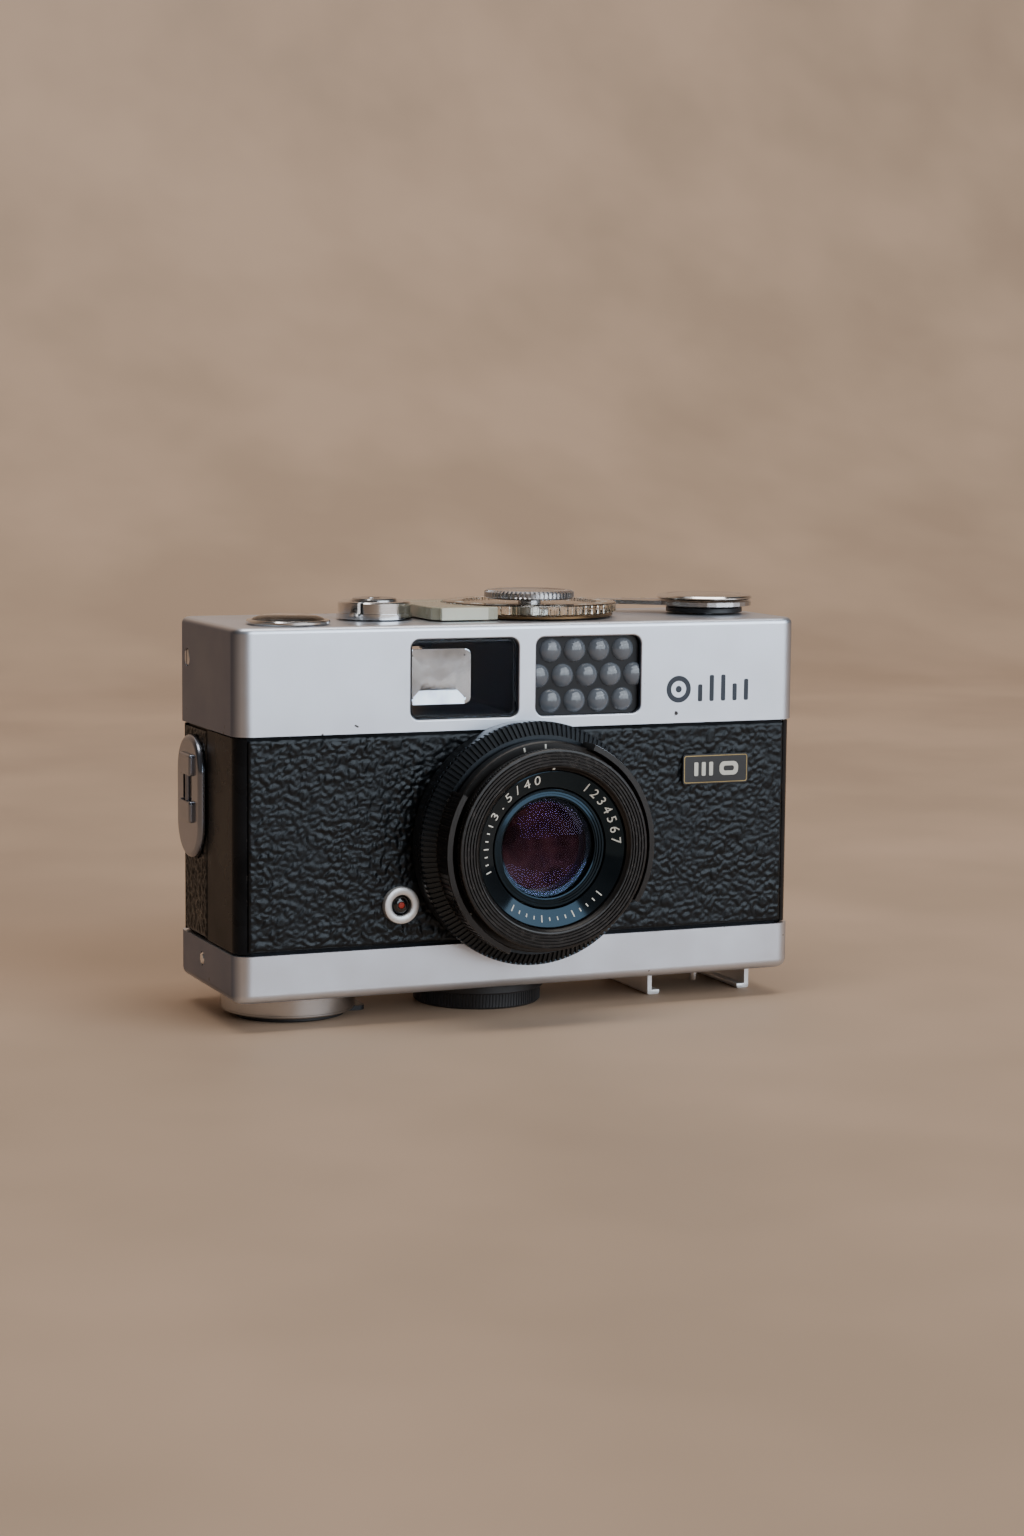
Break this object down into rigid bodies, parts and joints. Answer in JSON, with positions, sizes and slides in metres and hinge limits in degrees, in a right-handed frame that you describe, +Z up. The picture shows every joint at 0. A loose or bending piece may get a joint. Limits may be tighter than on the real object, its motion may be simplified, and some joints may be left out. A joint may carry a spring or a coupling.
{
  "type": "compact 35 mm viewfinder camera",
  "caption": "Small box-shaped 35 mm film camera with a collapsible lens, light meter, wind lever and rewind on a sliding back.",
  "frame": {"origin": "middle of the footprint at the height of the lowest pieces, the rewind crank, the lock ring and the shoe rails", "axes": "+X to the right as seen from the front, lens facing -Y, +Z up"},
  "size_m": [0.0988, 0.0434, 0.0674],
  "materials": {
    "satin_silver": "satin anodised",
    "polished_steel": "polished",
    "steel": "turned",
    "brass": "turned",
    "black_metal": "semi-matte black enamel",
    "black_plastic": "moulded",
    "gloss_black": "gloss black",
    "leather": "pebble grain",
    "glass": "coated optical glass",
    "clear_plastic": "clear moulded",
    "ivory_plastic": "translucent ivory",
    "cream_plastic": "translucent cream",
    "selenium": "dark cell",
    "white_disc": "printed disc",
    "needle_red": "painted"
  },
  "bodies": {
    "camera_body": {"top_cover": "satin_silver", "body_frame": "black_metal", "front_leather_left": "leather", "front_leather_right": "leather", "side_leather_left": "leather", "side_leather_right": "leather", "viewfinder_window": "glass", "viewfinder_tunnel": "black_plastic", "eyepiece_frame": "black_plastic", "eyepiece_lens": "glass", "meter_window": "clear_plastic", "selenium_cell": "selenium", "meter_housing": "cream_plastic", "meter_light_bar": "ivory_plastic", "release_collar": "polished_steel", "release_spring": "steel", "counter_window": "glass", "lever_base": "black_plastic", "lens_flange": "black_metal", "sync_ring": "satin_silver", "sync_insulator": "gloss_black", "badge_plate": "gloss_black", "cover_screw_left": "steel", "cover_screw_right": "steel", "strap_lug": "polished_steel"},
    "release": {"release_button": "polished_steel"},
    "lever": {"advance_lever": "steel", "lever_cap": "polished_steel"},
    "take_up": {"take_up_spool": "black_plastic"},
    "sprocket": {"sprocket_roller": "black_plastic"},
    "counter": {"counter_disc": "white_disc"},
    "dial": {"calculator_dial": "clear_plastic"},
    "knob": {"calculator_knob": "steel"},
    "needle": {"meter_needle": "needle_red"},
    "barrel": {"lens_tube": "steel", "shutter_housing": "black_metal", "middle_element": "glass", "rear_element": "glass"},
    "speed": {"speed_ring": "black_metal"},
    "aperture": {"aperture_ring": "black_metal"},
    "cell": {"front_cell": "black_metal", "front_element": "glass"},
    "focus": {"focus_ring": "black_metal", "name_ring": "gloss_black"},
    "blade_left": {"shutter_blade_left": "steel"},
    "blade_right": {"shutter_blade_right": "steel"},
    "back": {"back_panel": "black_metal", "back_leather": "leather", "bottom_cover": "satin_silver", "bottom_pin": "steel", "tripod_bush": "brass", "shoe_rail_left": "satin_silver", "shoe_rail_right": "satin_silver", "shoe_base": "black_plastic", "shoe_pin": "steel"},
    "pressure": {"pressure_plate": "steel"},
    "rewind": {"rewind_knob": "satin_silver", "rewind_fork": "steel"},
    "crank": {"rewind_crank": "black_plastic"},
    "lock": {"lock_ring": "black_plastic"}
  },
  "joints": [
    {"name": "release_press", "type": "slide", "parent": "camera_body", "child": "release", "axis": [0, 0, -1], "range_m": [0, 0.0012], "stiffness_N_per_m": 400, "springref_m": -0.0004, "deforming": ["release_spring"]},
    {"name": "advance_swing", "type": "hinge", "parent": "camera_body", "child": "lever", "pos_m": [0.03975, 0.00615, 0.0648], "axis": [0, 0, -1], "range_deg": [0, 130], "stiffness_Nm_per_rad": 0.004, "springref_deg": -20.05},
    {"name": "spool_turn", "type": "hinge", "parent": "camera_body", "child": "take_up", "pos_m": [0.03975, 0.00615, 0.0265], "axis": [0, 0, -1], "range_deg": [0, 130]},
    {"name": "sprocket_turn", "type": "hinge", "parent": "camera_body", "child": "sprocket", "pos_m": [0.02745, 0.01134, 0.0265], "axis": [0, 0, -1], "range_deg": [-130, 0]},
    {"name": "counter_turn", "type": "hinge", "parent": "camera_body", "child": "counter", "pos_m": [-0.03665, -0.00176, 0.0615], "axis": [0, 0, 1], "range_deg": [0, 10]},
    {"name": "dial_turn", "type": "hinge", "parent": "camera_body", "child": "dial", "pos_m": [0.00795, 0.00675, 0.0645], "axis": [0, 0, 1], "range_deg": [-150, 150]},
    {"name": "knob_turn", "type": "hinge", "parent": "camera_body", "child": "knob", "pos_m": [0.00795, 0.00675, 0.0665], "axis": [0, 0, 1], "range_deg": [-150, 150]},
    {"name": "needle_swing", "type": "hinge", "parent": "camera_body", "child": "needle", "pos_m": [-0.00515, 0.01375, 0.0615], "axis": [0, 0, 1], "range_deg": [-22, 14], "stiffness_Nm_per_rad": 0.00002},
    {"name": "lens_extend", "type": "slide", "parent": "camera_body", "child": "barrel", "axis": [0, -1, 0], "range_m": [0, 0.012]},
    {"name": "speed_turn", "type": "hinge", "parent": "barrel", "child": "speed", "pos_m": [0.00055, -0.01405, 0.02835], "axis": [0, -1, 0], "range_deg": [-40, 40]},
    {"name": "aperture_turn", "type": "hinge", "parent": "barrel", "child": "aperture", "pos_m": [0.00055, -0.01725, 0.02835], "axis": [0, -1, 0], "range_deg": [-35, 35]},
    {"name": "cell_advance", "type": "slide", "parent": "barrel", "child": "cell", "axis": [0, -1, 0], "range_m": [0, 0.001]},
    {"name": "focus_turn", "type": "hinge", "parent": "cell", "child": "focus", "pos_m": [0.00055, -0.02025, 0.02835], "axis": [0, -1, 0], "range_deg": [0, 200]},
    {"name": "blade_left_swing", "type": "hinge", "parent": "barrel", "child": "blade_left", "pos_m": [-0.00495, -0.01175, 0.03885], "axis": [0, -1, 0], "range_deg": [-25, 0], "stiffness_Nm_per_rad": 0.00002},
    {"name": "blade_right_swing", "type": "hinge", "parent": "barrel", "child": "blade_right", "pos_m": [0.00605, -0.01115, 0.03885], "axis": [0, -1, 0], "range_deg": [0, 25]},
    {"name": "back_slide", "type": "slide", "parent": "camera_body", "child": "back", "axis": [0, 0, -1], "range_m": [0, 0.055]},
    {"name": "pressure_float", "type": "slide", "parent": "back", "child": "pressure", "axis": [0, 1, 0], "range_m": [0, 0.0006], "stiffness_N_per_m": 800, "springref_m": -0.0003},
    {"name": "rewind_turn", "type": "hinge", "parent": "back", "child": "rewind", "pos_m": [-0.03405, 0.00615, 0.0025], "axis": [0, 0, 1], "continuous": true},
    {"name": "crank_fold", "type": "hinge", "parent": "rewind", "child": "crank", "pos_m": [-0.04305, 0.00615, 0.00075], "axis": [0, 1, 0], "range_deg": [0, 95]},
    {"name": "lock_turn", "type": "hinge", "parent": "back", "child": "lock", "pos_m": [-0.00115, 0.00615, 0.0025], "axis": [0, 0, 1], "range_deg": [0, 90]}
  ],
  "couplings": [
    {"joint": "spool_turn", "follows": "advance_swing", "ratio": 1},
    {"joint": "sprocket_turn", "follows": "advance_swing", "ratio": -1},
    {"joint": "counter_turn", "follows": "advance_swing", "ratio": 0.076923},
    {"joint": "cell_advance", "follows": "focus_turn", "m_per_rad": 0.00028648},
    {"joint": "blade_right_swing", "follows": "blade_left_swing", "ratio": -1}
  ]
}
